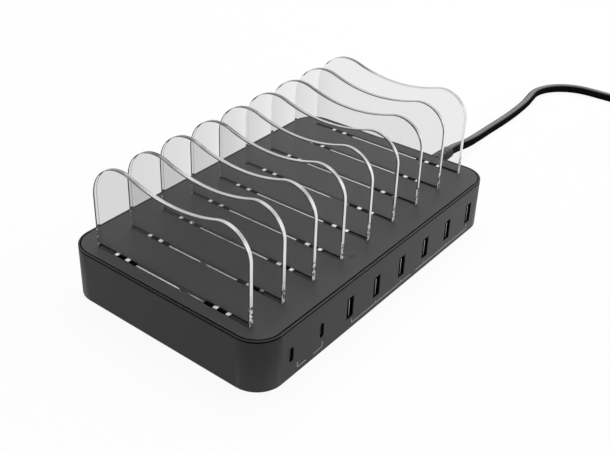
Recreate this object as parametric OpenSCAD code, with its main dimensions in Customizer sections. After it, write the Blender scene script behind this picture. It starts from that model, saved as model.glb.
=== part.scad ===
/* [Casing] */
// Length of the casing, along X
case_l = 222; // [216:1:260]
// Depth of the casing, along Y
case_w = 140; // [138:1:170]
// Height of the casing without its feet
case_h = 31.5; // [31:0.5:40]
// Radius of the casing's upright corners
corner_r = 16; // [14:0.5:20]
// Wall of the casing
wall = 2.2; // [2:0.1:2.6]
// Thickness of the deck that carries the dividers
deck_t = 2.6; // [2.4:0.1:3.2]
// Height of the band of the top cover that shows in the side
rim_h = 0.6; // [0.5:0.1:1.2]
// Width of the band between the deck groove and the edge
rim_w = 1.1; // [0.9:0.1:1.3]
// Width of the fine grooves round the deck
groove_w = 0.6; // [0.4:0.1:0.8]
// Depth of the fine grooves round the deck
groove_d = 0.8; // [0.5:0.1:1]
// Chamfer of the cover's outer edge
rim_chamfer = 0.2; // [0.1:0.05:0.4]
// Reach of the cover's locating lip inside the walls
lip_h = 3; // [2:0.5:4]
// Thickness of the cover's lip, ribs and pockets
rib_t = 1.4; // [1.2:0.1:1.8]
// Clearance between the cover's lip and the walls
lip_fit = 0.15; // [0.1:0.05:0.3]

/* [Dividers] */
// Distance from the last divider's middle to the casing's end
end_room = 11; // [10:0.5:13]
// Thickness of a divider
divider_t = 3; // [2.5:0.1:4]
// Length of a divider's foot
divider_l = 109; // [106:1:112]
// Height of a divider's back hump above the deck
back_hump_h = 54; // [52:0.5:60]
// Radius of the back hump
back_hump_r = 22.5; // [20:0.5:24]
// Height of the front hump above the deck
front_hump_h = 52.5; // [51:0.5:60]
// Radius of the front hump
front_hump_r = 16.5; // [15:0.5:20]
// Radius of the valley between the humps
valley_r = 86; // [70:1:110]
// Depth of the shallow slot beside a tab
slot_d = 1.2; // [0.8:0.1:1.6]
// Reach of a tab below the deck's face
tab_h = 8; // [6:0.5:8.5]
// Length of a tab
tab_l = 14.5; // [12:0.5:16]
// Distance of a tab's middle from the middle of the divider
tab_y = 31.75; // [29:0.25:34]
// Reach of a divider's ends into the shallow slots
end_sunk = 1; // [0.5:0.1:1.1]
// Width of the notch between a tab and a sunk end
notch_w = 2.2; // [1:0.1:2.6]
// Width of the slit that lets a tab spring
slit_w = 2.6; // [1.5:0.1:3]
// Clearance of a divider in its slots, per side
divider_fit = 0.2; // [0.1:0.05:0.3]

/* [Sockets] */
// Height of a tall socket's shell
socket_a_h = 13.1; // [12.6:0.1:13.6]
// Width of a tall socket's shell
socket_a_w = 5.7; // [5.5:0.1:6]
// Depth of a tall socket's shell
socket_a_d = 14; // [12:0.5:16]
// Sheet of a socket's shell
shell_t = 0.3; // [0.25:0.05:0.4]
// Thickness of a tall socket's tongue
tongue_a_t = 1.8; // [1.6:0.1:2]
// Gap between a tall socket's tongue and its near wall
tongue_a_gap = 1.2; // [0.8:0.1:1.4]
// Height of a small socket's shell
socket_c_h = 8.9; // [8.6:0.1:9.2]
// Width of a small socket's shell
socket_c_w = 3.2; // [3:0.1:3.4]
// Depth of a small socket's shell
socket_c_d = 9; // [8:0.5:10]
// Thickness of a small socket's tongue
tongue_c_t = 0.7; // [0.6:0.05:0.8]
// Height of the sockets' middles above the casing's underside
socket_z = 14.25; // [14:0.25:16]
// Distance of the sockets' mouths behind the casing's face
socket_back = 0.2; // [0.1:0.05:0.8]
// Clearance of a socket in its cut-out, per side
socket_fit = 0.15; // [0.1:0.05:0.3]

/* [Board and supply] */
// Thickness of the circuit board
board_t = 1.6; // [1.2:0.2:2]
// Gap between the circuit board and the long walls
board_gap = 1.8; // [1:0.1:2.5]
// Gap between the circuit board and the end walls
board_end_gap = 5.8; // [5:0.1:7]
// Diameter of the board's posts
post_d = 7; // [6:0.5:8]
// Diameter of the casing's screw bosses
boss_d = 8.4; // [8:0.2:9]
// Height of the transformer
transformer_h = 15; // [12:0.5:16]
// Diameter of the bulk capacitors
bulk_d = 12.5; // [10:0.5:13]
// Diameter of the output capacitors
output_d = 6.3; // [5:0.1:8]
// Height of the output capacitors
output_h = 11; // [8:0.5:12]
// Height of the heat sink
sink_h = 13; // [10:0.5:14]

/* [Feet and screws] */
// Diameter of a foot
foot_d = 13; // [11:0.5:15]
// Height of a foot below the casing
foot_proud = 1; // [0.6:0.1:2]
// Depth of a foot's recess
foot_sunk = 0.8; // [0.5:0.1:1]
// Thread diameter of the screws
screw_d = 3; // [2.5:0.1:3.2]
// Head diameter of the screws
screw_head_d = 5.6; // [5:0.1:6]
// Head height of the screws
screw_head_h = 1.8; // [1.4:0.1:2]
// Clearance round a screw's thread
screw_fit = 0.05; // [0.03:0.01:0.1]

/* [Inlet and cord] */
// Place of the mains inlet along the end wall
inlet_y = -20; // [-20.5:0.5:0]
// Width of the inlet's mouth
inlet_w = 15.8; // [15.4:0.1:16.4]
// Height of the inlet's mouth
inlet_h = 8.8; // [8.4:0.1:9.2]
// Depth of the inlet's mouth
inlet_d = 11; // [9:0.5:12]
// Clearance of the connector's nose in the inlet, per side
nose_fit = 0.25; // [0.15:0.05:0.4]
// Diameter of the cord
cord_d = 6.6; // [6:0.1:7]
// Length of the connector's grip outside the casing
grip_l = 18; // [14:1:24]
// Length of a strain relief
relief_l = 22; // [20:1:30]
// Smallest radius of the coil's turns
coil_r = 27; // [27:0.5:32]
// Step between the coil's turns and between its layers
coil_pitch = 7.2; // [7.1:0.1:8]
// Thickness of the tie round the coil
tie_t = 0.6; // [0.5:0.1:1]
// Width of the tie
tie_w = 8; // [6:0.5:12]
// Length of the plug's body
plug_l = 34; // [30:1:38]
// Width of the plug's face
plug_w = 34; // [32:1:36]
// Height of the plug's body
plug_h = 13.7; // [13:0.1:15]
// Diameter of the plug's pins
pin_d = 4; // [4:0.1:4.8]
// Length of the plug's pins
pin_l = 19; // [18:0.5:20]

/* [Hidden] */
divider_n = 9;
$fn = 64;
eps = 0.01;

// Heights, from the table up
base_z = foot_proud;
floor_z = base_z + wall;
deck_z = base_z + case_h;
seam_z = deck_z - rim_h;
under_z = deck_z - deck_t;
port_z = base_z + socket_z;
board_top = port_z - socket_a_h / 2;
board_z = board_top - board_t;

// Places along the casing
half_l = case_l / 2;
half_w = case_w / 2;
pitch = (case_l - 2 * end_room) / (divider_n - 1);
mouth_y = -half_w + socket_back;
divider_x = [for (i = [0 : divider_n - 1]) (i - (divider_n - 1) / 2) * pitch];
slot_x = [for (i = [0 : divider_n - 2]) (i - (divider_n - 2) / 2) * pitch];
socket_c_x = [slot_x[0], slot_x[1]];
socket_a_x = [for (i = [2 : 7]) slot_x[i]];

// Screws: four at the corners' centres, six in the board
boss_at = [for (sx = [-1, 1], sy = [-1, 1]) [sx * (half_l - corner_r), sy * (half_w - corner_r)]];
post_room = 26;
post_at = [for (i = [1, 4, 7], s = [-1, 1]) [divider_x[i], s * (half_w - post_room)]];
head_z = base_z + foot_sunk + screw_head_h;
boss_top = port_z + 1;
screw_reach = 8;
head_fit = 0.2;

// Saddle outline of a divider, along it and up: two humps, and a valley that touches both
plate_half = divider_l / 2;
front_at = [front_hump_r - plate_half, front_hump_h - front_hump_r];
back_at = [plate_half - back_hump_r, back_hump_h - back_hump_r];
span = norm(back_at - front_at);
along = (back_at - front_at) / span;
reach = valley_r + front_hump_r;
drop = valley_r + back_hump_r;
part_way = (reach * reach - drop * drop + span * span) / (2 * span);
lift = sqrt(reach * reach - part_way * part_way);
valley_at = front_at + part_way * along + lift * [-along[1], along[0]];
touch_front = front_at + (valley_at - front_at) * front_hump_r / reach;
touch_back = back_at + (valley_at - back_at) * back_hump_r / drop;

slot_w = divider_t + 2 * divider_fit;
pocket_l = tab_l + 2 * divider_fit;
pocket_z = deck_z - tab_h - 2 * divider_fit;

// Mains inlet and the connector in it
inlet_wall = 1.4;
inlet_back = 18;
inlet_pin_d = 2.4;
inlet_pin_y = 4.3;
nose_x = half_l - inlet_d + nose_fit * 2;
grip_x = half_l + 0.3;
relief_x = grip_x + grip_l;
cord_x = relief_x + relief_l;
relief_d = cord_d + 3.4;

// Route of the cord from the connector to the coil: steps along X and Y, and heights above the table
cord_steps = [
    [0, 0, port_z], [6, 0, 15.1], [14, 0.6, 13.4], [25, 2, 10.3], [37, 3.7, 7.1], [48, 5.2, 4.8],
    [60, 5.8, 3.6], [74, 5.6, 3.4], [87, 5, 3.4], [101, 4.7, 3.4], [116, 4.9, 3.4], [133, 5.9, 3.4],
    [145, 7.6, 3.4], [156, 9, 3.4], [164.5, 7.9, 3.4], [172.2, 4.6, 3.4], [178.6, -0.4, 3.4], [183.7, -7, 3.4],
    [186.9, -14.7, 3.4], [188, -23, 3.4], [188, -38, 3.4], [188, -54, 3.4], [188, -70, 3.6], [188, -85, 4.1],
    [188, -98, 4.3], [188, -106, 4.3], [188, -113, 4.3]];
cord_route = [for (p = cord_steps) [cord_x + p[0], inlet_y + p[1], p[2]]];
cord_sides = 8;

// Coil: turns in to the smallest radius, up a layer, and out again
coil_in = 2.5;
coil_out = 2.75;
coil_steps = 24;
coil_sides = 6;
coil_lead = 7;
coil_start = cord_route[len(cord_route) - 1];
coil_x = coil_start[0] - coil_r - coil_in * coil_pitch;
coil_y = coil_start[1] - coil_lead;
coil_z = coil_start[2];
function climb(t) = min(max(t * 2 + 0.5, 0), 1);
function coil_point(t) =
    let (r = coil_r + coil_pitch * abs(t), a = -360 * (t + coil_in))
    [coil_x + r * cos(a), coil_y + r * sin(a), coil_z + coil_pitch * climb(t)];
coil_turns = [for (i = [0 : (coil_in + coil_out) * coil_steps]) coil_point(i / coil_steps - coil_in)];
coil_last = coil_turns[len(coil_turns) - 1];
coil_end = coil_last - [coil_lead, 0, 0];
coil_path = concat([coil_start], coil_turns, [coil_end]);

// Tail from the coil down to the plug, which lies flat
plug_z = plug_h / 2 + 0.3;
tail_y = coil_end[1];
tail_steps = [[6, coil_end[2]], [13, 10.8], [20, 9.4], [27, 7.9], [34, plug_z], [41, plug_z]];
tail_route = concat([coil_end], [for (p = tail_steps) [coil_end[0] - p[0], tail_y, p[1]]]);
plug_end = tail_route[len(tail_route) - 1];
plug_x = plug_end[0] - relief_l;
pin_pitch = 18.6;

// Least gap between one turn and another, from middle to middle less the cord
coil_gaps = [for (i = [0 : len(coil_path) - 1], j = [i + coil_steps / 2 : len(coil_path) - 1])
             norm(coil_path[i] - coil_path[j]) - cord_d];
function total(v, i = 0) = i < len(v) ? v[i] + total(v, i + 1) : 0;
function path_length(p) = total([for (i = [1 : len(p) - 1]) norm(p[i] - p[i - 1])]);
echo(least_gap = min(coil_gaps));
echo(cord_length = path_length(cord_route) + path_length(coil_path) + path_length(tail_route));
echo(plug_face = plug_x - plug_l, tail_y = tail_y, plug_z = plug_z, coil_at = [coil_x, coil_y]);

// Tube swept along a path, with one ring at each point
function unit(v) = v / norm(v);
function heading(p, i) = unit(p[min(i + 1, len(p) - 1)] - p[max(i - 1, 0)]);
function ring(p, i, r, n) =
    let (t = heading(p, i), side = unit(cross(t, [0, 0, 1])), up = cross(side, t))
    [for (k = [0 : n - 1]) let (a = 90 + 360 * k / n) p[i] + r * (side * cos(a) + up * sin(a))];
module tube(p, d, n) {
    last = len(p) - 1;
    points = [for (i = [0 : last]) each ring(p, i, d / 2, n)];
    sides = [for (i = [0 : last - 1], k = [0 : n - 1])
             let (a = i * n + k, b = i * n + (k + 1) % n) each [[a, a + n, b], [b, a + n, b + n]]];
    caps = [for (k = [1 : n - 2]) each [[0, k, k + 1], [last * n, last * n + k + 1, last * n + k]]];
    polyhedron(points, concat(sides, caps), convexity = 6);
}

// Flat outlines
module rounded(l, w, r) {
    square([l - 2 * r, w], center = true);
    square([l, w - 2 * r], center = true);
    for (sx = [-1, 1], sy = [-1, 1]) translate([sx * (l / 2 - r), sy * (w / 2 - r)]) circle(r);
}
module outline(inset) rounded(case_l - 2 * inset, case_w - 2 * inset, corner_r - inset);
module stadium(w, h) {
    square([w - h, h], center = true);
    for (s = [-1, 1]) translate([s * (w - h) / 2, 0]) circle(h / 2);
}
module mouth(w, h) {
    square([w - h, h * 0.8], center = true);
    for (s = [-1, 1]) translate([s * (w - h) / 2, 0]) circle(h / 2);
}
module slab(inset, z0, z1) translate([0, 0, z0]) linear_extrude(z1 - z0) outline(inset);

// Stands a flat outline up in the front wall, and in the end wall
module at_front(x, y, depth)
    translate([x, y + depth, port_z]) rotate([90, 0, 0]) linear_extrude(depth) children();
module at_end(x, y, z, depth)
    translate([x, y, z]) rotate([90, 0, 90]) linear_extrude(depth) children();
module on_bosses(z) for (p = boss_at) translate([p[0], p[1], z]) children();
module on_posts(z) for (p = post_at) translate([p[0], p[1], z]) children();

module base_shell() color("#3b3b3d") difference() {
    union() {
        difference() {
            union() {
                slab(0, base_z, seam_z - groove_w);
                slab(groove_d, seam_z - groove_w - eps, seam_z);
            }
            slab(wall, floor_z, seam_z + 1);
        }
        on_bosses(floor_z - eps) cylinder(d = boss_d, h = boss_top - floor_z + eps);
        on_posts(floor_z - eps) cylinder(d = post_d, h = board_z - floor_z + eps);
    }
    for (x = socket_a_x) at_front(x, -half_w - 1, wall + 2)
        square([socket_a_w + 2 * socket_fit, socket_a_h + 2 * socket_fit], center = true);
    for (x = socket_c_x) at_front(x, -half_w - 1, wall + 2)
        rotate(90) stadium(socket_c_h + 2 * socket_fit, socket_c_w + 2 * socket_fit);
    at_end(half_l - wall - 1, inlet_y, port_z, wall + 2)
        stadium(inlet_w + 2 * inlet_wall + 2 * socket_fit, inlet_h + 2 * inlet_wall + 2 * socket_fit);
    on_bosses(0) {
        cylinder(d = foot_d + 2 * screw_fit, h = base_z + foot_sunk);
        cylinder(d = screw_head_d + 2 * head_fit, h = head_z);
        cylinder(d = screw_d + 2 * screw_fit, h = boss_top + 1);
    }
    on_posts(floor_z) cylinder(d = screw_d + 2 * screw_fit, h = board_z);
    vents();
}

// Two rows of air slots through the underside
vent_l = 44;
vent_w = 2.4;
vent_step = 7;
module vents() for (s = [-1, 1], i = [-3 : 3])
    translate([s * 1.5 * pitch + i * vent_step, 0, base_z - 1]) linear_extrude(wall + 2)
        rotate(90) stadium(vent_l, vent_w);

module top_cover() color("#434345") difference() {
    union() {
        slab(0, seam_z, deck_z - rim_chamfer);
        slab(rim_chamfer, seam_z, deck_z);
        rim_edge();
        slab(wall + lip_fit, under_z, seam_z + eps);
        difference() {
            slab(wall + lip_fit, under_z - lip_h, under_z + eps);
            slab(wall + lip_fit + rib_t, under_z - lip_h - 1, under_z);
        }
        on_bosses(boss_top) cylinder(d = boss_d, h = under_z - boss_top + eps);
        for (x = divider_x, s = [-1, 1]) translate([x, s * tab_y, pocket_z - rib_t])
            linear_extrude(under_z - pocket_z + rib_t + eps)
                square([slot_w + 2 * rib_t, pocket_l + 2 * rib_t], center = true);
        for (s = [-1, 1]) translate([0, s * tab_y, under_z - lip_h]) linear_extrude(lip_h + eps)
            square([2 * divider_x[divider_n - 1], rib_t], center = true);
    }
    for (x = divider_x, s = [-1, 1]) divider_slot(x, s);
    on_bosses(boss_top - 1) cylinder(d = screw_d + 2 * screw_fit, h = screw_reach + 1.5);
    difference() {
        slab(rim_w, deck_z - groove_d, deck_z + 1);
        slab(rim_w + groove_w, deck_z - groove_d - 1, deck_z + 2);
    }
}

// Pocket for a tab, and the shallow slot from it to the divider's end
module divider_slot(x, s) {
    slot_end = divider_l / 2 + divider_fit;
    translate([x, s * tab_y, pocket_z]) linear_extrude(deck_z) square([slot_w, pocket_l], center = true);
    translate([x, s * (tab_y + slot_end) / 2, deck_z - slot_d]) linear_extrude(slot_d + 1)
        square([slot_w, slot_end - tab_y], center = true);
}

// Top of the cover, with its outer edge chamfered all round
module rim_edge() {
    z = deck_z - rim_chamfer;
    c = rim_chamfer;
    translate([0, 0, z]) {
        rotate([90, 0, 90]) linear_extrude(case_l - 2 * corner_r, center = true)
            polygon([[-half_w, 0], [half_w, 0], [half_w - c, c], [c - half_w, c]]);
        rotate([90, 0, 0]) linear_extrude(case_w - 2 * corner_r, center = true)
            polygon([[-half_l, 0], [half_l, 0], [half_l - c, c], [c - half_l, c]]);
        on_bosses(0) cylinder(r1 = corner_r, r2 = corner_r - c, h = c);
    }
}

// Plate with a saddle-shaped top, two slit tabs, and ends that sit a little below the deck's face
module divider(i) color([0.92, 0.93, 0.94, 0.4]) translate([divider_x[i], 0, deck_z])
    rotate([90, 0, 90]) linear_extrude(divider_t, center = true) {
        end_y = tab_y + tab_l / 2 + notch_w;
        difference() {
            polygon([[-plate_half, 0], [plate_half, 0], [plate_half, back_at[1]], back_at, touch_back,
                     touch_front, front_at, [-plate_half, front_at[1]]]);
            translate(valley_at) circle(valley_r, $fn = 180);
        }
        translate(front_at) circle(front_hump_r, $fn = 96);
        translate(back_at) circle(back_hump_r, $fn = 96);
        for (s = [-1, 1]) {
            translate([s * (end_y + plate_half) / 2, -end_sunk / 2])
                square([plate_half - end_y, end_sunk + 2 * eps], center = true);
            for (side = [-1, 1]) translate([s * tab_y + side * (tab_l + slit_w) / 4, -tab_h / 2])
                square([(tab_l - slit_w) / 2, tab_h + 2 * eps], center = true);
        }
    }

// Folded shell, open at both ends, with two windows in each side for its springs
module usb_a_shell(i) color("#7c7e82") difference() {
    spring_l = socket_a_d * 0.4;
    spring_h = socket_a_h * 0.18;
    at_front(socket_a_x[i], mouth_y, socket_a_d) square([socket_a_w, socket_a_h], center = true);
    at_front(socket_a_x[i], mouth_y - 1, socket_a_d + 2)
        square([socket_a_w - 2 * shell_t, socket_a_h - 2 * shell_t], center = true);
    for (s = [-1, 1])
        translate([socket_a_x[i], mouth_y + socket_a_d * 0.45, port_z + s * socket_a_h * 0.22])
            cube([socket_a_w + 2, spring_l, spring_h], center = true);
}

// Moulded body at the back of the shell, with the tongue that stands forward from it
tongue_fit = 0.05;
tongue_back = 0.1;
tongue_room = 2.2;
module usb_a_tongue(i) color("#b9bbbe") {
    inner_w = socket_a_w - 2 * shell_t;
    inner_h = socket_a_h - 2 * shell_t;
    body_d = socket_a_d / 4;
    at_front(socket_a_x[i], mouth_y + socket_a_d - body_d, body_d)
        square([inner_w - 2 * tongue_fit, inner_h - 2 * tongue_fit], center = true);
    tongue_x = socket_a_x[i] - inner_w / 2 + tongue_a_gap + tongue_a_t / 2;
    at_front(tongue_x, mouth_y + tongue_back, socket_a_d * 0.8)
        square([tongue_a_t, inner_h - tongue_room], center = true);
}

module usb_c_shell(i) color("#7c7e82")
    at_front(socket_c_x[i], mouth_y, socket_c_d) rotate(90) difference() {
        stadium(socket_c_h, socket_c_w);
        stadium(socket_c_h - 2 * shell_t, socket_c_w - 2 * shell_t);
    }

// Moulded body behind and under the shell, with its thin middle tongue
tongue_c_room = 2.4;
tongue_c_back = 0.5;
body_c_d = 2;
module usb_c_tongue(i) color("#2c2c2e") {
    back_y = mouth_y + socket_c_d;
    at_front(socket_c_x[i], mouth_y + tongue_c_back, socket_c_d)
        square([tongue_c_t, socket_c_h - tongue_c_room], center = true);
    translate([socket_c_x[i] - socket_c_w / 2, back_y, board_top])
        cube([socket_c_w, body_c_d, port_z + socket_c_h / 2 - board_top]);
    translate([socket_c_x[i] - socket_c_w / 2, back_y - socket_c_d / 2, board_top])
        cube([socket_c_w, socket_c_d / 2 + body_c_d, port_z - socket_c_h / 2 - board_top]);
}

boss_gap = 1;
module circuit_board() color("#1f5a3a") translate([0, 0, board_z]) linear_extrude(board_t) difference() {
    rounded(case_l - 2 * (wall + board_end_gap), case_w - 2 * (wall + board_gap), corner_r / 2);
    for (p = boss_at) translate(p) circle(d = boss_d + 2 * boss_gap);
    for (p = post_at) translate(p) circle(d = screw_d + 2 * screw_fit);
}

// Transformer: a core with two windows, and the winding round its middle leg
core_at = [divider_x[4], 4];
core_l = 28;
core_w = 12;
leg = 8;
window = core_l / 2 - leg;
winding_fit = 0.2;
module transformer_core() color("#4a4a4c") translate([core_at[0], core_at[1], board_top]) difference() {
    translate([-core_l / 2, -core_w / 2, 0]) cube([core_l, core_w, transformer_h]);
    for (s = [-1, 1]) translate([s * (leg + window) / 2, 0, transformer_h / 2])
        cube([window, core_w + 2, transformer_h - leg], center = true);
}
module transformer_winding() color("#c9a227")
    translate([core_at[0], core_at[1], board_top + leg / 2 + winding_fit])
        linear_extrude(transformer_h - leg - 2 * winding_fit) difference() {
            square([leg + 2 * (window - winding_fit), core_w + 2 * window], center = true);
            square([leg + 2 * winding_fit, core_w + 2 * winding_fit], center = true);
        }

// Two cans side by side, lying down, each with a crimped neck
bulk_at = [divider_x[6] - 8, 3];
bulk_l = 26;
bulk_gap = 2;
crimp = 0.7;
module bulk_capacitors() color("#26304a") for (s = [-1, 1])
    translate([bulk_at[0] - bulk_l / 2, bulk_at[1] + s * (bulk_d + bulk_gap) / 2, board_top + bulk_d / 2])
        rotate([0, 90, 0]) rotate_extrude()
            polygon([[0, 0], [bulk_d / 2 - crimp, 0], [bulk_d / 2, crimp], [bulk_d / 2, bulk_l - 5 * crimp],
                     [bulk_d / 2 - crimp, bulk_l - 4 * crimp], [bulk_d / 2, bulk_l - 3 * crimp],
                     [bulk_d / 2, bulk_l - crimp], [bulk_d / 2 - crimp, bulk_l], [0, bulk_l]]);

// One upright can behind each gap between two tall sockets
output_gap = 4;
module output_capacitors() color("#33363d") for (i = [0 : 4])
    translate([socket_a_x[i] + pitch / 2 - output_gap, mouth_y + socket_a_d + output_gap, board_top])
        cylinder(d = output_d, h = output_h);

// Comb of fins on an upright plate
sink_at = [divider_x[3] - 13, half_w - 21];
sink_l = 48;
sink_t = 1.6;
fin_t = 1.2;
fin_l = 5;
fin_n = 9;
module heat_sink() color("#a8abb0") translate([sink_at[0], sink_at[1], board_top]) {
    cube([sink_l, sink_t, sink_h]);
    for (i = [0 : fin_n - 1]) translate([i * (sink_l - fin_t) / (fin_n - 1), sink_t - eps, 0])
        cube([fin_t, fin_l + eps, sink_h]);
}

choke_at = [divider_x[7] - 6, 10];
choke_r = 10;
choke_t = 6;
choke_h = 9;
module line_choke() color("#8a4b2a") translate([choke_at[0], choke_at[1], board_top]) rotate_extrude()
    translate([choke_r - choke_t, 0]) square([choke_t, choke_h]);

// Glass fuse, laid across two clips
fuse_at = [divider_x[7] + 9, 16];
fuse_d = 5;
fuse_l = 20;
fuse_z = 3.4;
clip_w = 5.2;
clip_l = 3;
module fuse() color("#d5d8da") translate([fuse_at[0], fuse_at[1], board_top]) {
    translate([0, 0, fuse_z]) rotate([90, 0, 0]) cylinder(d = fuse_d, h = fuse_l, center = true);
    for (s = [-1, 1]) translate([-clip_w / 2, s * (fuse_l / 2 - clip_l) - clip_l / 2, 0])
        cube([clip_w, clip_l, fuse_z]);
}

// Moulded inlet, with its rim just behind the casing's face
inlet_shy = 0.3;
board_fit = 0.2;
block_w = inlet_w + 5;
module power_inlet() color("#1c1c1d") difference() {
    union() {
        at_end(half_l - wall - inlet_back, inlet_y, port_z, inlet_back - board_fit)
            square([block_w, 2 * (port_z - board_top)], center = true);
        at_end(half_l - wall - 1, inlet_y, port_z, wall + 1 - inlet_shy)
            stadium(inlet_w + 2 * inlet_wall, inlet_h + 2 * inlet_wall);
    }
    at_end(half_l - inlet_d, inlet_y, port_z, inlet_d + 1) mouth(inlet_w, inlet_h);
}

module inlet_pins() color("#c8b070") for (s = [-1, 1])
    translate([half_l - inlet_d, inlet_y + s * inlet_pin_y, port_z]) rotate([0, 90, 0])
        cylinder(d = inlet_pin_d, h = inlet_d - 2);

module screw(h) {
    cylinder(d = screw_d, h = h + eps);
    translate([0, 0, h]) cylinder(d1 = screw_head_d, d2 = screw_head_d - 0.8, h = screw_head_h);
}
module board_screws() color("#b8babd") on_posts(floor_z) screw(board_top - floor_z);
module cover_screws() color("#b8babd") on_bosses(boss_top + screw_reach) mirror([0, 0, 1])
    screw(boss_top + screw_reach - head_z);

foot_bevel = 0.5;
module foot(i) color("#202021") translate([boss_at[i][0], boss_at[i][1], 0]) {
    cylinder(d1 = foot_d - 2 * foot_bevel, d2 = foot_d, h = foot_bevel);
    translate([0, 0, foot_bevel - eps]) cylinder(d = foot_d, h = base_z + foot_sunk - foot_bevel + eps);
}

// Ringed, tapered strain relief along +X
relief_wall = 0.8;
module relief(d) rotate([0, 90, 0]) rotate_extrude() difference() {
    polygon([[0, 0], [d / 2, 0], [cord_d / 2 + relief_wall, relief_l], [0, relief_l]]);
    for (i = [1 : 5]) translate([cord_d / 2 + relief_wall + 0.1, i * relief_l / 6.5])
        square([d, relief_l / 20]);
}

grip_over = 2.4;
module cord_connector() color("#1a1a1b") difference() {
    union() {
        at_end(nose_x, inlet_y, port_z, grip_x - nose_x + eps)
            mouth(inlet_w - 2 * nose_fit, inlet_h - 2 * nose_fit);
        hull() {
            at_end(grip_x, inlet_y, port_z, grip_l * 0.65)
                stadium(inlet_w + grip_over, inlet_h + grip_over, $fn = 32);
            at_end(relief_x - 1, inlet_y, port_z, 1) stadium(relief_d + 2, relief_d, $fn = 32);
        }
        translate([relief_x - eps, inlet_y, port_z]) relief(relief_d);
    }
    for (s = [-1, 1]) translate([nose_x - 1, inlet_y + s * inlet_pin_y, port_z]) rotate([0, 90, 0])
        cylinder(d = inlet_pin_d + 2 * nose_fit, h = inlet_d + 1);
}

module power_cord() color("#18181a") tube(cord_route, cord_d, cord_sides);
module cord_coil() color("#18181a") tube(coil_path, cord_d, coil_sides);
module cord_tail() color("#18181a") tube(tail_route, cord_d, cord_sides);

// Flat band round the bundle of turns, at the coil's far side
tie_room = 0.3;
tie_r = 3;
module cord_tie() color("#2a2a2c") {
    low = coil_z - cord_d / 2 - tie_room;
    high = coil_z + coil_pitch + cord_d / 2 + tie_room;
    near = coil_r - cord_d / 2 - tie_room;
    far = coil_r + coil_pitch * coil_in + cord_d / 2 + tie_room;
    translate([coil_x, coil_y + (near + far) / 2, (low + high) / 2]) rotate([90, 0, 90])
        linear_extrude(tie_w, center = true) difference() {
            rounded(far - near + 2 * tie_t, high - low + 2 * tie_t, tie_r);
            rounded(far - near, high - low, tie_r - tie_t);
        }
}

// Flat two-pin plug, tapered towards its cord
plug_r = 4;
module mains_plug() color("#1a1a1b") {
    hull() {
        at_end(plug_x - plug_l, tail_y, plug_z, plug_l * 0.45) rounded(plug_w, plug_h, plug_r, $fn = 32);
        at_end(plug_x - 2, tail_y, plug_z, 2) rounded(plug_w * 0.45, plug_h * 0.8, plug_r, $fn = 32);
    }
    translate([plug_x - eps, tail_y, plug_z]) relief(relief_d);
}

pin_tip = 1;
module plug_pins() color("#c4c6c9") for (s = [-1, 1])
    translate([plug_x - plug_l, tail_y + s * pin_pitch / 2, plug_z]) rotate([0, -90, 0]) {
        cylinder(d = pin_d, h = pin_l - pin_tip);
        translate([0, 0, pin_l - pin_tip - eps]) cylinder(d1 = pin_d, d2 = pin_d - 1.4 * pin_tip, h = pin_tip);
    }

base_shell();
top_cover();
divider(0);  // divider_1
divider(1);  // divider_2
divider(2);  // divider_3
divider(3);  // divider_4
divider(4);  // divider_5
divider(5);  // divider_6
divider(6);  // divider_7
divider(7);  // divider_8
divider(8);  // divider_9
usb_a_shell(0);  // usb_a_shell_1
usb_a_shell(1);  // usb_a_shell_2
usb_a_shell(2);  // usb_a_shell_3
usb_a_shell(3);  // usb_a_shell_4
usb_a_shell(4);  // usb_a_shell_5
usb_a_shell(5);  // usb_a_shell_6
usb_a_tongue(0);  // usb_a_tongue_1
usb_a_tongue(1);  // usb_a_tongue_2
usb_a_tongue(2);  // usb_a_tongue_3
usb_a_tongue(3);  // usb_a_tongue_4
usb_a_tongue(4);  // usb_a_tongue_5
usb_a_tongue(5);  // usb_a_tongue_6
usb_c_shell(0);  // usb_c_shell_1
usb_c_shell(1);  // usb_c_shell_2
usb_c_tongue(0);  // usb_c_tongue_1
usb_c_tongue(1);  // usb_c_tongue_2
circuit_board();
transformer_core();
transformer_winding();
bulk_capacitors();
output_capacitors();
heat_sink();
line_choke();
fuse();
power_inlet();
inlet_pins();
board_screws();
cover_screws();
foot(0);  // foot_1
foot(1);  // foot_2
foot(2);  // foot_3
foot(3);  // foot_4
cord_connector();
power_cord();
cord_coil();
cord_tail();
cord_tie();
mains_plug();
plug_pins();
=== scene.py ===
from math import atan2, cos, pi, radians, sin

import bmesh
import bpy
from mathutils import Matrix, Vector


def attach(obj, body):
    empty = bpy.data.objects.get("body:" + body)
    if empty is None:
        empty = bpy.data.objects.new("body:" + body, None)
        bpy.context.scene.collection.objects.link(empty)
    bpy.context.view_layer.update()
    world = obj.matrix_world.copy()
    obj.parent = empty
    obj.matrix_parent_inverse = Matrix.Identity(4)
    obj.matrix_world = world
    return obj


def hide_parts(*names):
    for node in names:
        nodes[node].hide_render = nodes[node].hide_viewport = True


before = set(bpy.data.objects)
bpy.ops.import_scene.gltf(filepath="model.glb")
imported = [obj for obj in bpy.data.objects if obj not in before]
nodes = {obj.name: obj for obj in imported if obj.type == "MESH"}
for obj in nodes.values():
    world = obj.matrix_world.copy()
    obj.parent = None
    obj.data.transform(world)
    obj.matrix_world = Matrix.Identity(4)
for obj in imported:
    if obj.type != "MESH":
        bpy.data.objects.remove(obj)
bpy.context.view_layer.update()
mm = 0.001
scene = bpy.context.scene
scene.view_settings.view_transform = "Standard"

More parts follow.
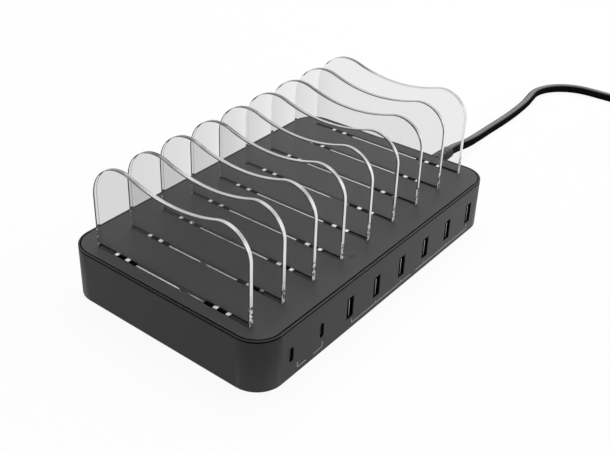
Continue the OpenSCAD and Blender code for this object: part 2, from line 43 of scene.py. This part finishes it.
# Camera
# A long lens high over the end where the small sockets are, turned a little towards the sockets' side. The
# picture is the upper right part of a wider one, so the lens is shifted.
azimuth, elevation, roll = radians(41.562), radians(29.943), radians(-0.491)
aim = Vector((15.199, 59.206, 16)) * mm
distance = 589.75 * mm
ahead = Vector((cos(elevation) * cos(azimuth), cos(elevation) * sin(azimuth), -sin(elevation)))
level = Vector((sin(azimuth), -cos(azimuth), 0))
upright = level.cross(ahead)
right = cos(roll) * level + sin(roll) * upright
up = cos(roll) * upright - sin(roll) * level
camera = bpy.data.objects.new("camera", bpy.data.cameras.new("camera"))
scene.collection.objects.link(camera)
turned = Matrix((right, up, -ahead)).transposed().to_4x4()
camera.matrix_world = Matrix.Translation(aim - ahead * distance) @ turned
camera.data.sensor_width = 36
focal_px, frame_px = 916.79, 610
camera.data.lens = 36 * focal_px / frame_px
camera.data.shift_x, camera.data.shift_y = 0.12, -0.06
camera.data.clip_start, camera.data.clip_end = 0.01, 20
scene.camera = camera


# Mains cord
# Round black flex, 6.6 mm over its soft plastic sheath. It droops from the connector to the table, runs
# along it and turns; the rest of its length is wound up in a neat tied coil, with the plug beside it.
class Value:
    """A number that varies over a surface: arithmetic on it adds the Math nodes."""

    def __init__(self, tree, socket):
        self.tree, self.socket = tree, socket

    def math(self, operation, *args):
        node = self.tree.nodes.new("ShaderNodeMath")
        node.operation = operation
        for socket, arg in zip(node.inputs, args):
            feed(self.tree, socket, arg)
        return Value(self.tree, node.outputs[0])

    def __add__(self, other):
        return self.math("ADD", self, other)

    def __sub__(self, other):
        return self.math("SUBTRACT", self, other)

    def __rsub__(self, other):
        return self.math("SUBTRACT", other, self)

    def __mul__(self, other):
        return self.math("MULTIPLY", self, other)

    def __truediv__(self, other):
        return self.math("DIVIDE", self, other)

    def __gt__(self, other):
        return self.math("GREATER_THAN", self, other)

    def __lt__(self, other):
        return self.math("LESS_THAN", self, other)

    __radd__ = __add__
    __rmul__ = __mul__

    def apart(self, other):
        return self.math("ABSOLUTE", self - other)

    def least(self, other):
        return self.math("MINIMUM", self, other)

    def most(self, other):
        return self.math("MAXIMUM", self, other)


def feed(tree, socket, value):
    if isinstance(value, Value):
        tree.links.new(value.socket, socket)
    else:
        socket.default_value = value


class Shading:
    """The nodes of one material, or of the surround."""

    def __init__(self, tree):
        self.tree = tree

    def node(self, kind, settings=None, values=None, out=0):
        node = self.tree.nodes.new("ShaderNode" + kind)
        for key, value in (settings or {}).items():
            if key == "stops":
                ramp = node.color_ramp
                while len(ramp.elements) < len(value):
                    ramp.elements.new(0.5)
                for element, (at, colour) in zip(ramp.elements, value):
                    element.position, element.color = at, colour
            else:
                setattr(node, key, value)
        for key, value in (values or {}).items():
            feed(self.tree, node.inputs[key], value)
        return Value(self.tree, node.outputs[out])


class Finish(Shading):
    """One material: its Principled shader with plain numbers, and the nodes that vary over it."""

    def __init__(self, name, **numbers):
        self.material = bpy.data.materials.new(name)
        self.material.use_nodes = True
        super().__init__(self.material.node_tree)
        self.shader = self.tree.nodes["Principled BSDF"]
        for key, value in numbers.items():
            self.shader.inputs[key.replace("_", " ")].default_value = value

    def place(self):
        """The point on the surface, in metres in the piece's own frame."""
        return self.node("TexCoord", out="Object")

    def axes(self, vector):
        split = self.node("SeparateXYZ", values={0: vector}).socket.node
        return [Value(self.tree, socket) for socket in split.outputs]

    def xyz(self):
        return self.axes(self.place())

    def noise(self, per_mm, detail=2.0, rough=0.5, stretch=(1, 1, 1)):
        """Noise with about per_mm lumps in a millimetre, from 0 to 1 round 0.5."""
        scale = [k * per_mm / mm for k in stretch]
        scaled = self.node("VectorMath", {"operation": "MULTIPLY"}, {0: self.place(), 1: scale})
        values = {"Vector": scaled, "Scale": 1.0, "Detail": detail, "Roughness": rough}
        return self.node("TexNoise", values=values)

    def tint(self, factor, first, second):
        """Colour from first to second as factor goes from 0 to 1."""
        return self.node("Mix", {"data_type": "RGBA"}, {0: factor, 6: first, 7: second}, out=2)

    def set(self, **inputs):
        for key, value in inputs.items():
            feed(self.tree, self.shader.inputs[key.replace("_", " ")], value)
        return self

    def bump(self, height, depth_mm):
        return self.set(Normal=self.node("Bump", values={"Height": height, "Distance": depth_mm * mm}))

    def cover(self, mask, shader):
        """Shows another shader where the mask is 1."""
        own = Value(self.tree, self.shader.outputs[0])
        mixed = self.node("MixShader", values={0: mask, 1: own, 2: shader})
        self.tree.links.new(mixed.socket, self.tree.nodes["Material Output"].inputs[0])


def grey(level):
    """A neutral colour from its level on screen, 0 to 255."""
    linear = (level / 255) ** 2.2
    return (linear, linear, linear, 1)


def sheath_finish(name, level, rough, **numbers):
    """Soft black plastic: nearly even, with faint drawn lines and handling marks."""
    f = Finish(name, IOR=1.5, **numbers)
    cloud = f.noise(0.12, 3)
    f.set(Base_Color=f.tint(cloud, grey(level - 3), grey(level + 3)), Roughness=rough - 0.08 + 0.16 * cloud)
    return f.bump(f.noise(3.0, 2), 0.02)


def painted_top_highlight(f, start, over, dark, pale):
    """A painted highlight: paler on sides that face up, from where the normal's upward part is start to over
    more.
    """
    upward = f.axes(f.node("NewGeometry", out="Normal"))[2]
    painted_highlight = (upward - start) / over + 0.3 * (f.noise(0.1, 2, stretch=(0.3, 1, 1)) - 0.5)
    f.set(Base_Color=f.tint(painted_highlight, grey(dark), grey(pale)))


cord_d = 6.6
cord_exit = (151.3, -20, 15.25)
cord_steps = [
    (0, 0, 15.25), (6, 0, 15.1), (14, 0.6, 13.4), (25, 2, 10.3), (37, 3.7, 7.1), (48, 5.2, 4.8),
    (60, 5.8, 3.6), (74, 5.6, 3.4), (87, 5, 3.4), (101, 4.7, 3.4), (116, 4.9, 3.4), (133, 5.9, 3.4),
    (145, 7.6, 3.4), (156, 9, 3.4), (164.5, 7.9, 3.4), (172.2, 4.6, 3.4), (178.6, -0.4, 3.4),
    (183.7, -7, 3.4), (186.9, -14.7, 3.4), (188, -23, 3.4), (188, -38, 3.4), (188, -54, 3.4),
    (188, -70, 3.6), (188, -85, 4.1), (188, -98, 4.3), (188, -106, 4.3), (188, -113, 4.3)]
coil_r, coil_step, coil_in, coil_out, coil_parts, coil_lead = 27, 7.2, 2.5, 2.75, 24, 7
tail_steps = [(6, 11.5), (13, 10.8), (20, 9.4), (27, 7.9), (34, 7.15), (41, 7.15)]
route = [Vector((cord_exit[0] + x, cord_exit[1] + y, z)) for x, y, z in cord_steps]
coil_middle = route[-1] - Vector((coil_r + coil_in * coil_step, coil_lead, 0))
for i in range(int((coil_in + coil_out) * coil_parts) + 1):
    turn = i / coil_parts - coil_in
    reach = coil_r + coil_step * abs(turn)
    angle = -2 * pi * (turn + coil_in)
    rise = coil_step * min(max(turn * 2 + 0.5, 0), 1)
    route.append(coil_middle + Vector((reach * cos(angle), reach * sin(angle), rise)))
coil_end = route[-1] - Vector((coil_lead, 0, 0))
route.append(coil_end)
route += [Vector((coil_end.x - x, coil_end.y, z)) for x, z in tail_steps]


def eased(points, parts):
    """The same line through the points, rounded between them."""
    line = []
    for i in range(len(points) - 1):
        a, b = points[max(i - 1, 0)], points[i]
        c, d = points[i + 1], points[min(i + 2, len(points) - 1)]
        for k in range(parts):
            t = k / parts
            line.append(0.5 * ((2 * b) + (c - a) * t + (2 * a - 5 * b + 4 * c - d) * t * t
                               + (3 * b - a - 3 * c + d) * t ** 3))
    return line + [points[-1]]


cord_line = eased(route, 3)
curve = bpy.data.curves.new("mains_cord", "CURVE")
curve.dimensions = "3D"
curve.bevel_depth = cord_d / 2 * mm
curve.bevel_resolution = 6
curve.use_fill_caps = True
spline = curve.splines.new("POLY")
spline.points.add(len(cord_line) - 1)
for point, at in zip(spline.points, cord_line):
    point.co = (*(at * mm), 1)
spline.use_smooth = True
cord = bpy.data.objects.new("mains_cord", curve)
scene.collection.objects.link(cord)
sheath = sheath_finish("cord_sheath", 10, 0.4, Specular_IOR_Level=0.0)
# Painted highlight: the sheath is painted paler along its upper side.
painted_top_highlight(sheath, 0.74, 0.25, 24, 128)
curve.materials.append(sheath.material)
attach(cord, "base")
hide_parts("power_cord", "cord_coil", "cord_tail")
cord_length = sum((b - a).length for a, b in zip(cord_line, cord_line[1:])) * mm


# Connector, plug and tie
# The connector and the plug are moulded over the cord's ends in hard black plastic; the plug's pins are
# plated. The tie is a flat band of soft plastic.
def dress(name, finish, round_mm=0):
    """Gives a solid of the frame its finish, and small rounds on its edges."""
    node = nodes[name]
    for slot in node.material_slots:
        slot.material = finish.material
    if round_mm:
        weld = node.modifiers.new("weld", "WELD")
        weld.merge_threshold = 0.002 * mm
        edge = node.modifiers.new("edge", "BEVEL")
        edge.width = round_mm * mm
        edge.segments = 2
        edge.limit_method = "ANGLE"
        edge.angle_limit = radians(40)
        edge.harden_normals = True
    return node


moulding = sheath_finish("plug_moulding", 24, 0.4, Specular_IOR_Level=0.15)
# Painted highlight: the moulding is painted paler on the sides that face up.
painted_top_highlight(moulding, 0.6, 0.4, 16, 96)
dress("cord_connector", moulding, 0.3)
dress("mains_plug", moulding, 0.3)
dress("cord_tie", sheath_finish("tie_band", 40, 0.55), 0.15)
plating = Finish("pin_plating", Metallic=1.0, IOR=1.5)
wear = plating.noise(1.2, 3, stretch=(0.2, 1, 1))
plating.set(Base_Color=plating.tint(wear, grey(188), grey(214)), Roughness=0.22 + 0.18 * wear)
dress("plug_pins", plating, 0.1)


# Casing and deck
# Two mouldings in charcoal plastic with a fine spark-eroded texture: a tub, and a lid whose edge shows as a
# narrow band over a parting groove, made dark with painted shade. A second fine groove frames the deck, with
# painted shade on its two near sides.
deck_z, rim_h, rim_w, groove_w = 32.5, 0.6, 1.1, 0.6
half_case, corner_r = Vector((111, 70)), 16
# The painted shade in the deck's groove stops this far along the near long side.
shaded_groove_end = 94


def past(place, start, over):
    """From 0 where a place is start mm to 1 where it is over mm further on."""
    return (place - start * mm) / (over * mm)


def casing_finish(name, level, rough, **numbers):
    """Moulded plastic: a fine spark-eroded grain over faint clouds."""
    f = Finish(name, IOR=1.46, **numbers)
    grain = f.noise(2.6, 3, 0.6)
    cloud = f.noise(0.02, 2)
    f.colour = f.tint(cloud * 0.5 + grain * 0.5, grey(level - 4), grey(level + 4))
    f.set(Base_Color=f.colour, Roughness=rough - 0.06 + 0.08 * grain + 0.05 * cloud)
    return f.bump(grain, 0.035)


def in_shade(f, mask):
    """Painted shade in the mouth of a groove: near black, with no gloss, where the mask is 1."""
    f.cover(mask, f.node("BsdfDiffuse", values={0: grey(4)}))


tub = casing_finish("casing_texture", 46, 0.5, Specular_IOR_Level=0.25)
x, y, z = tub.xyz()
# Painted light: the walls are painted paler towards the far end, as under a lamp beyond it.
tub.set(Base_Color=tub.tint(past(x, -20, 130), tub.colour, grey(60)))
# Painted shade: the top of the walls, in the parting groove, is near black.
in_shade(tub, z > (deck_z - rim_h - groove_w - 0.02) * mm)
# Painted light: the lid is the tub's plastic painted paler, as the deck facing up takes more light.
lid = casing_finish("deck_texture", 56, 0.4, Specular_IOR_Level=0.25)
x, y, z = lid.xyz()
corner_x, corner_y = [(at.apart(0) - (half - corner_r) * mm).most(0) for at, half in zip((x, y), half_case)]
squares = corner_x * corner_x + corner_y * corner_y
inward = corner_r * mm - squares.math("SQRT", squares)
# Painted shade: the narrow rim band round the deck is painted darker, so its chamfer doesn't look lit.
lid.set(Base_Color=lid.tint(inward < rim_w * mm, lid.colour, grey(34)))
# Painted shade in the groove round the deck, on its two near sides, and under the lid's band.
in_groove = (inward > (rim_w - 0.1) * mm) * (inward < (rim_w + groove_w + 0.05) * mm)
long_side = (y < (corner_r - half_case.y) * mm) * (x < shaded_groove_end * mm)
near_side = (long_side + (x < (corner_r - half_case.x) * mm)).least(1.0)
in_parting = z < (deck_z - rim_h + 0.12) * mm
in_shade(lid, (in_groove * near_side + in_parting).least(1.0))
dress("base_shell", tub, 0.2)
dress("top_cover", lid, 0.15)


# Clear dividers
# Nine plates of 3 mm clear acrylic with a saddle-shaped top, each on two tabs pushed into the deck. The
# faces are polished, with painted shade in their tint and a faint painted glow. The cut edges are painted:
# painted highlights between fine arrises of painted shade, and a rough band near the deck.
divider_t, divider_l, tab_l, tab_h, tab_y = 3, 109, 14.5, 8, 31.75
back_hump_h, back_hump_r, front_hump_h, front_hump_r, valley_r = 54, 22.5, 52.5, 16.5, 86
end_sunk, notch_w, slit_w = 1, 2.2, 2.6
seat_gap, arris_w, near_strip_w = 0.02, 0.25, 1.2
back_end_y, back_end_z, front_end_y, back_slope_y, hump_y = 50, back_hump_h - 8, -50, 9, 22
rough_h, glow_fade_h = 11, 5
pitch, row_half = 25, 100
back_at = Vector((divider_l / 2 - back_hump_r, back_hump_h - back_hump_r))
front_at = Vector((front_hump_r - divider_l / 2, front_hump_h - front_hump_r))
to_front, to_back = valley_r + front_hump_r, valley_r + back_hump_r
span = (back_at - front_at).length
along = (back_at - front_at) / span
part_way = (to_front ** 2 - to_back ** 2 + span ** 2) / (2 * span)
aside = (to_front ** 2 - part_way ** 2) ** 0.5
valley_at = front_at + along * part_way + Vector((-along.y, along.x)) * aside


def arc(middle, r, start, end, parts):
    """Points round a middle, from one direction to another."""
    turns = [start + (end - start) * k / parts for k in range(parts + 1)]
    return [middle + Vector((cos(t), sin(t))) * r for t in turns]


def heading(start, end):
    return atan2(end.y - start.y, end.x - start.x)


foot = [(tab_y - tab_l / 2, seat_gap), (tab_y - tab_l / 2, -tab_h), (tab_y - slit_w / 2, -tab_h),
        (tab_y - slit_w / 2, seat_gap), (tab_y + slit_w / 2, seat_gap), (tab_y + slit_w / 2, -tab_h),
        (tab_y + tab_l / 2, -tab_h), (tab_y + tab_l / 2, seat_gap), (tab_y + tab_l / 2 + notch_w, seat_gap),
        (tab_y + tab_l / 2 + notch_w, -end_sunk), (divider_l / 2, -end_sunk)]
saddle = [Vector(p) for p in foot]
saddle += arc(back_at, back_hump_r, 0, heading(back_at, valley_at), 30)
saddle += arc(valley_at, valley_r, heading(valley_at, back_at), heading(valley_at, front_at), 40)[1:]
saddle += arc(front_at, front_hump_r, heading(front_at, valley_at), pi, 30)[1:]
saddle += [Vector((-y, z)) for y, z in reversed(foot)]


def inset(loop, by):
    """The same outline, a little smaller all round."""
    moved = []
    for k, at in enumerate(loop):
        back, on = (at - loop[k - 1]).normalized(), (loop[(k + 1) % len(loop)] - at).normalized()
        side = Vector((-back.y, back.x)) + Vector((-on.y, on.x))
        moved.append(at + side * (2 * by / side.length_squared))
    return moved


def finished(name, mesh, shade):
    """The mesh as a piece, smooth but for edges sharper than shade degrees, or flat where shade is 0."""
    data = bpy.data.meshes.new(name)
    bmesh.ops.recalc_face_normals(mesh, faces=mesh.faces)
    for face in mesh.faces:
        face.smooth = shade > 0
    for edge in mesh.edges:
        if len(edge.link_faces) == 2 and edge.calc_face_angle(0) > radians(shade):
            edge.smooth = False
    mesh.to_mesh(data)
    mesh.free()
    piece = bpy.data.objects.new(name, data)
    scene.collection.objects.link(piece)
    return piece


kinds = ["face", "cut", "far arris", "near arris", "foot", "seated", "back arris"]


def plate(name, x):
    """A divider at x: two polished faces, and between them four strips of edge, from the near face on."""
    mesh = bmesh.new()
    side = divider_t / 2
    layers = [(-side, arris_w), (arris_w - side, 0), (near_strip_w - side, 0), (side - arris_w, 0),
              (side, arris_w)]
    loops = []
    for at, by in layers:
        outline = inset(saddle, by) if by else saddle
        loops.append([mesh.verts.new(Vector((x + at, p.x, deck_z + p.y)) * mm) for p in outline])
    for step in range(4):
        low, high = loops[step], loops[step + 1]
        for k in range(len(low)):
            n = (k + 1) % len(low)
            face = mesh.faces.new((low[k], low[n], high[n], high[k]))
            middle = (saddle[k] + saddle[n]) / 2
            if seat_gap < middle.y < back_end_z and middle.x > back_end_y:
                strips = ("back arris", "face" if x > 0 else "cut", "face", "back arris")
            elif middle.y > seat_gap:
                strips = ("near arris", "cut", "cut", "far arris")
            elif abs(middle.x) > tab_y + tab_l / 2 + notch_w:
                strips = ("seated",) * 4
            elif abs(middle.x) < tab_y - tab_l / 2:
                strips = ("foot", "foot", "seated", "seated")
            else:
                strips = ("foot",) * 4
            face.material_index = kinds.index(strips[step])
    mesh.faces.new(list(reversed(loops[0])))
    mesh.faces.new(loops[-1])
    return finished(name, mesh, 35)


def along_row(f):
    """0 at the row's first divider, 1 at its last."""
    return past(f.xyz()[0], -row_half, 2 * row_half)


def by_row(f, stops):
    """A level that changes along the row, between stops of (place, level)."""
    return f.node("ValToRGB", {"stops": [(at, (c, c, c, 1)) for at, c in stops]}, {0: along_row(f)})


def acrylic_finish(name, shade_stops, rough, **numbers):
    """Clear acrylic, through which lamps shine without a hard shadow."""
    f = Finish(name, Transmission_Weight=1.0, Roughness=rough, **numbers)
    # Painted shade: where stops are given, the acrylic is tinted darker or paler along the row.
    if shade_stops:
        f.colour = by_row(f, shade_stops)
        f.set(Base_Color=f.colour)
    shadow_ray = f.node("LightPath", out="Is Shadow Ray")
    f.cover(shadow_ray, f.node("BsdfTransparent", values={0: (0.84, 0.85, 0.85, 1)}))
    return f


def across_each(f, first_x):
    """How far across a point is from the middle of its own piece, in a row of pieces from first_x."""
    x = f.xyz()[0]
    return x.math("FLOORED_MODULO", x - (first_x - pitch / 2) * mm, pitch * mm) - pitch / 2 * mm


# Painted shade and light on the faces: a tint that darkens them at the near end of the row and over the back
# hump, and a faint painted glow, paler at the near end, that fades out towards the deck.
row_shade_stops = [(0, 0.67), (0.5, 0.91), (0.875, 0.93), (1, 0.83)]
face_acrylic = acrylic_finish("polished_acrylic", row_shade_stops, 0.0, IOR=1.03, Emission_Strength=0.01)
x, y, z = face_acrylic.xyz()
hump_shade_stops = [(0, 0.67), (0.125, 0.69), (0.25, 0.71), (0.5, 0.72), (0.625, 0.77), (0.75, 0.81), (1, 0.83)]
hump_shade = by_row(face_acrylic, hump_shade_stops)
painted_glow = face_acrylic.tint(along_row(face_acrylic), grey(255), grey(170))
face_acrylic.set(Base_Color=face_acrylic.tint(past(y, hump_y, 22), face_acrylic.colour, hump_shade),
                 Emission_Color=face_acrylic.tint(past(z, deck_z, glow_fade_h), grey(0), painted_glow))
foot_acrylic = acrylic_finish("foot_acrylic", [], 0.0, IOR=1.49, Base_Color=(0.95, 0.95, 0.95, 1))
# Painted shade: the arrises are tinted dark, and less so towards the far end of the row.
rim_acrylic = acrylic_finish("far_arris", [(0, 0.3), (0.875, 0.3), (1, 0.75)], 0.06, IOR=1.49)
near_acrylic = acrylic_finish("near_arris", [(0, 0.05), (0.875, 0.05), (1, 0.5)], 0.06, IOR=1.49)
back_acrylic = acrylic_finish("back_arris", [(0, 0.12), (0.4, 0.3), (0.7, 0.7), (1, 0.8)], 0.06, IOR=1.03)
seated = Finish("seated_edge", Roughness=0.6, Specular_IOR_Level=0.1)
x, y, z = seated.xyz()
# Painted shade: the ends sunk below the deck are near black on their near side.
sunk = (y.apart(0) > (tab_y + tab_l / 2) * mm) * (across_each(seated, -row_half) < -0.2 * mm)
seated.set(Base_Color=seated.tint(sunk, grey(58), grey(5)))
# Painted light and shade on the cut edges: painted highlights over most of the saddle and at the front end,
# painted shade on the back slope and in dark lines along the near side, a back end painted paler along the
# row, and near the deck a rough sawn band whose bump is real and whose mottle is painted glints and shade.
cut = Finish("cut_edge", IOR=1.49)
x, y, z = cut.xyz()
across = across_each(cut, -row_half)
streak = (cut.noise(0.9, 3, 0.6, stretch=(1, 0.06, 0.06)) - 0.35) * 2.6
bright = cut.tint(streak, grey(158), grey(198))
shaded_edge = cut.tint(streak, cut.tint(along_row(cut), grey(30), grey(70)), grey(165))
shaded_edge = cut.tint(across < -0.5 * mm, shaded_edge, grey(14))
polished = cut.tint(past(y, back_slope_y, 12), bright, shaded_edge)
polished = cut.tint(past(y, back_end_y, 3), polished, cut.tint(along_row(cut), grey(100), grey(215)))
polished = cut.tint(past(y, front_end_y, -4), polished, cut.tint(streak, grey(210), grey(250)))
crumb = (cut.noise(0.8, 2, 0.5) - 0.43) * 10
sawn = z < (deck_z + rough_h) * mm
widths = [(0, 0.6), (0.25, 0.65), (0.5, 0.9), (0.75, 1.2), (0.875, 1.0), (0.95, 0)]
polished = cut.tint(across < (by_row(cut, widths) - divider_t / 2) * mm, polished, grey(20))
cut.set(Base_Color=cut.tint(sawn, polished, cut.tint(crumb, grey(58), grey(255))),
        Roughness=0.2 + 0.2 * sawn)
cut.bump(crumb * sawn, 0.3)
for i in range(9):
    divider = plate(f"clear_plate_{i + 1}", i * pitch - row_half)
    for finish in (face_acrylic, cut, rim_acrylic, near_acrylic, foot_acrylic, seated, back_acrylic):
        divider.data.materials.append(finish.material)
    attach(divider, f"divider_{i + 1}")
    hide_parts(f"divider_{i + 1}")


# Sockets
# Tall and small sockets soldered to the board behind the front wall: folded shells in dark nickel, with
# moulded tongues, pale grey in the tall ones and black in the small ones.
port_z, lit_from, lit_to = 15.25, -0.95, -0.45
tall_x = [k * pitch - 37.5 for k in range(6)]


def folded(name, first, second):
    """Nickel-plated sheet, bright at the mouth, with painted shade that darkens it deeper in."""
    f = Finish(name, Metallic=1.0)
    scuff = f.noise(2.0, 3, stretch=(1, 0.2, 1))
    depth = past(f.xyz()[1], -half_case.y, 0.8)
    f.set(Base_Color=f.tint(depth, f.tint(scuff, grey(first), grey(second)), grey(12)),
          Roughness=0.32 + 0.2 * scuff)
    return f


nickel = folded("dark_nickel", 22, 38)
# Painted shade: the small sockets' shells are a darker copy of the same nickel, so their openings read dark.
shaded_nickel = folded("shaded_nickel", 16, 30)
pale = casing_finish("pale_tongue", 200, 0.45, Specular_IOR_Level=0.0)
x, y, z = pale.xyz()
across = across_each(pale, tall_x[0])
# Painted light and shade on the tall tongues: darker towards the bottom, black but for a narrow lit strip
# across each, and darker deeper in.
shaded = pale.tint(past(z, port_z - 6, 9), grey(110), pale.colour)
shaded = pale.tint((across < lit_from * mm) + (across > lit_to * mm), shaded, grey(4))
pale.set(Base_Color=pale.tint(past(y, -half_case.y, 1.6), shaded, grey(20)))
dark = casing_finish("dark_tongue", 22, 0.45, Specular_IOR_Level=0.1)
for i in range(1, 7):
    dress(f"usb_a_shell_{i}", nickel, 0.08)
    dress(f"usb_a_tongue_{i}", pale, 0.1)
for i in range(1, 3):
    dress(f"usb_c_shell_{i}", shaded_nickel, 0.08)
    dress(f"usb_c_tongue_{i}", dark, 0.08)


# Marks on the front wall
# Thin light grey brackets, printed under the two groups of sockets: a line with a tick up at each end, or at
# each socket, and a gap in the line.
def bars(name, boxes):
    """Printed strokes, each a thin box from its low corner to its high one."""
    mesh = bmesh.new()
    for low, high in boxes:
        middle = (Vector(low) + Vector(high)) / 2
        size = Vector(high) - Vector(low)
        placed = Matrix.Translation(middle * mm) @ Matrix.Diagonal((*(size * mm), 1))
        bmesh.ops.create_cube(mesh, size=1, matrix=placed)
    return finished(name, mesh, 0)


line_w, ink = 0.42, 0.03
front_y, small_z, tall_z = -half_case.y, 4.2, 4.1


def line(x0, x1, z):
    return (x0, front_y - ink, z - line_w / 2), (x1, front_y + 0.01, z + line_w / 2)


def tick(x, z, top):
    return (x - line_w / 2, front_y - ink, z - line_w / 2), (x + line_w / 2, front_y + 0.01, top)


small = [tick(-82.4, small_z, 7.5), line(-82.4, -75.3, small_z)]
small += [line(-69.5, -61.7, small_z), tick(-61.7, small_z, 7.8)]
tall = [line(-35.4, 23.7, tall_z), line(28.9, tall_x[-1], tall_z)]
tall += [tick(x, tall_z, 5.6) for x in tall_x[1:-1]]
tall += [tick(-35.4, tall_z, 6.6), tick(tall_x[-1], tall_z, 7)]
printing = Finish("printed_grey", IOR=1.45)
patchy = printing.noise(1.5, 3)
printing.set(Base_Color=printing.tint(patchy, grey(150), grey(178)), Roughness=0.5 + 0.1 * patchy)
for name, boxes in (("marks_small", small), ("marks_tall", tall)):
    marks = bars(name, boxes)
    marks.data.materials.append(printing.material)
    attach(marks, "base")


# Feet
# Four black rubber discs glued into recesses in the underside, over the cover's screws.
rubber = sheath_finish("foot_rubber", 34, 0.8)
for i in range(1, 5):
    dress(f"foot_{i}", rubber, 0.15)


# Board and supply
# A green fibreglass board with the parts that turn mains current into low voltage, screwed to six posts.
# None of it shows through the closed casing except behind the air slots underneath.
lacquer = Finish("board_lacquer", IOR=1.5, Coat_Weight=0.4)
weave = lacquer.noise(0.8, 2, stretch=(1, 0.3, 1)) * 0.5 + lacquer.noise(0.8, 2, stretch=(0.3, 1, 1)) * 0.5
green, paler_green = (0.01, 0.07, 0.03, 1), (0.02, 0.13, 0.06, 1)
lacquer.set(Base_Color=lacquer.tint(weave, green, paler_green), Roughness=0.3 + 0.2 * weave)
lacquer.bump(weave, 0.03)
dress("circuit_board", lacquer, 0.1)


def part_finish(name, first, second, per_mm, rough, depth, **numbers):
    """A mottled finish between two colours, for the supply's parts."""
    f = Finish(name, **numbers)
    mottle = f.noise(per_mm, 3)
    f.set(Base_Color=f.tint(mottle, first, second), Roughness=rough + 0.15 * mottle)
    return f.bump(mottle, depth)


dress("transformer_core", part_finish("ferrite", grey(52), grey(70), 1.5, 0.55, 0.05), 0.4)
tape = part_finish("winding_tape", (0.55, 0.36, 0.04, 1), (0.66, 0.45, 0.06, 1), 0.3, 0.3, 0.03)
dress("transformer_winding", tape, 0.4)
sleeve = part_finish("dark_sleeve", (0.012, 0.02, 0.05, 1), (0.02, 0.03, 0.08, 1), 0.2, 0.22, 0.02)
dress("bulk_capacitors", sleeve)
dress("output_capacitors", part_finish("black_sleeve", grey(42), grey(52), 0.3, 0.25, 0.02), 0.3)
dress("heat_sink", part_finish("cast_alloy", grey(176), grey(200), 0.9, 0.32, 0.02, Metallic=1.0), 0.15)
copper = part_finish("copper_turns", (0.30, 0.09, 0.03, 1), (0.45, 0.15, 0.06, 1), 0.8, 0.3, 0.1)
dress("line_choke", copper, 0.8)
dress("fuse", part_finish("fuse_body", grey(205), grey(222), 0.4, 0.12, 0.01), 0.2)
dress("power_inlet", sheath_finish("inlet_moulding", 34, 0.5), 0.15)
brass = part_finish("pin_brass", (0.55, 0.4, 0.15, 1), (0.66, 0.5, 0.22, 1), 1.0, 0.2, 0.01, Metallic=1.0)
dress("inlet_pins", brass, 0.1)
zinc = part_finish("screw_zinc", grey(165), grey(190), 1.5, 0.28, 0.02, Metallic=1.0)
dress("board_screws", zinc, 0.1)
dress("cover_screws", zinc, 0.1)


# Floor, light and background
# A plain pale floor that keeps the shadow, under a white surround and soft lamps. The camera, gloss and
# clear pieces see both as white.
floor_half, floor_white, surround = 6, 0.93, 0.45


def shown(shading):
    """1 for a ray that is to see the white background, 0 for the rest."""
    rays = [shading.node("LightPath", out=f"Is {kind} Ray") for kind in ("Camera", "Glossy", "Transmission")]
    return (rays[0] + rays[1] + rays[2]).least(1.0)


floor = bpy.data.objects.new("floor", bpy.data.meshes.new("floor"))
corners = [(x * floor_half, y * floor_half, -0.0002) for x, y in ((-1, -1), (1, -1), (1, 1), (-1, 1))]
floor.data.from_pydata(corners, [], [(0, 1, 2, 3)])
scene.collection.objects.link(floor)
ground = Finish("floor_paper", Roughness=0.9, Base_Color=(0.8, 0.8, 0.8, 1))
ground.cover(shown(ground) * floor_white, ground.node("Emission", values={"Color": (1, 1, 1, 1)}))
floor.data.materials.append(ground.material)

world = bpy.data.worlds.new("surround")
world.use_nodes = True
scene.world = world
tree = world.node_tree
back = tree.nodes["Background"]
back.inputs["Color"].default_value = (1, 1, 1, 1)
feed(tree, back.inputs["Strength"], shown(Shading(tree)) * (1 - surround) + surround)


def lamp(name, at, toward, size, power):
    data = bpy.data.lights.new(name, "AREA")
    data.shape = "RECTANGLE"
    data.size, data.size_y = size
    data.energy = power
    light = bpy.data.objects.new(name, data)
    light.location = at
    light.rotation_mode = "QUATERNION"
    light.rotation_quaternion = (Vector(toward) - Vector(at)).to_track_quat("-Z", "Y")
    light.visible_transmission = False
    scene.collection.objects.link(light)


lamp("overhead_box", (0.5, 0.2, 1.2), (0, 0, 0), (1, 1), 12)
lamp("front_box", (0.9, -1.1, 0.5), (0, 0, 0), (0.8, 0.8), 9)
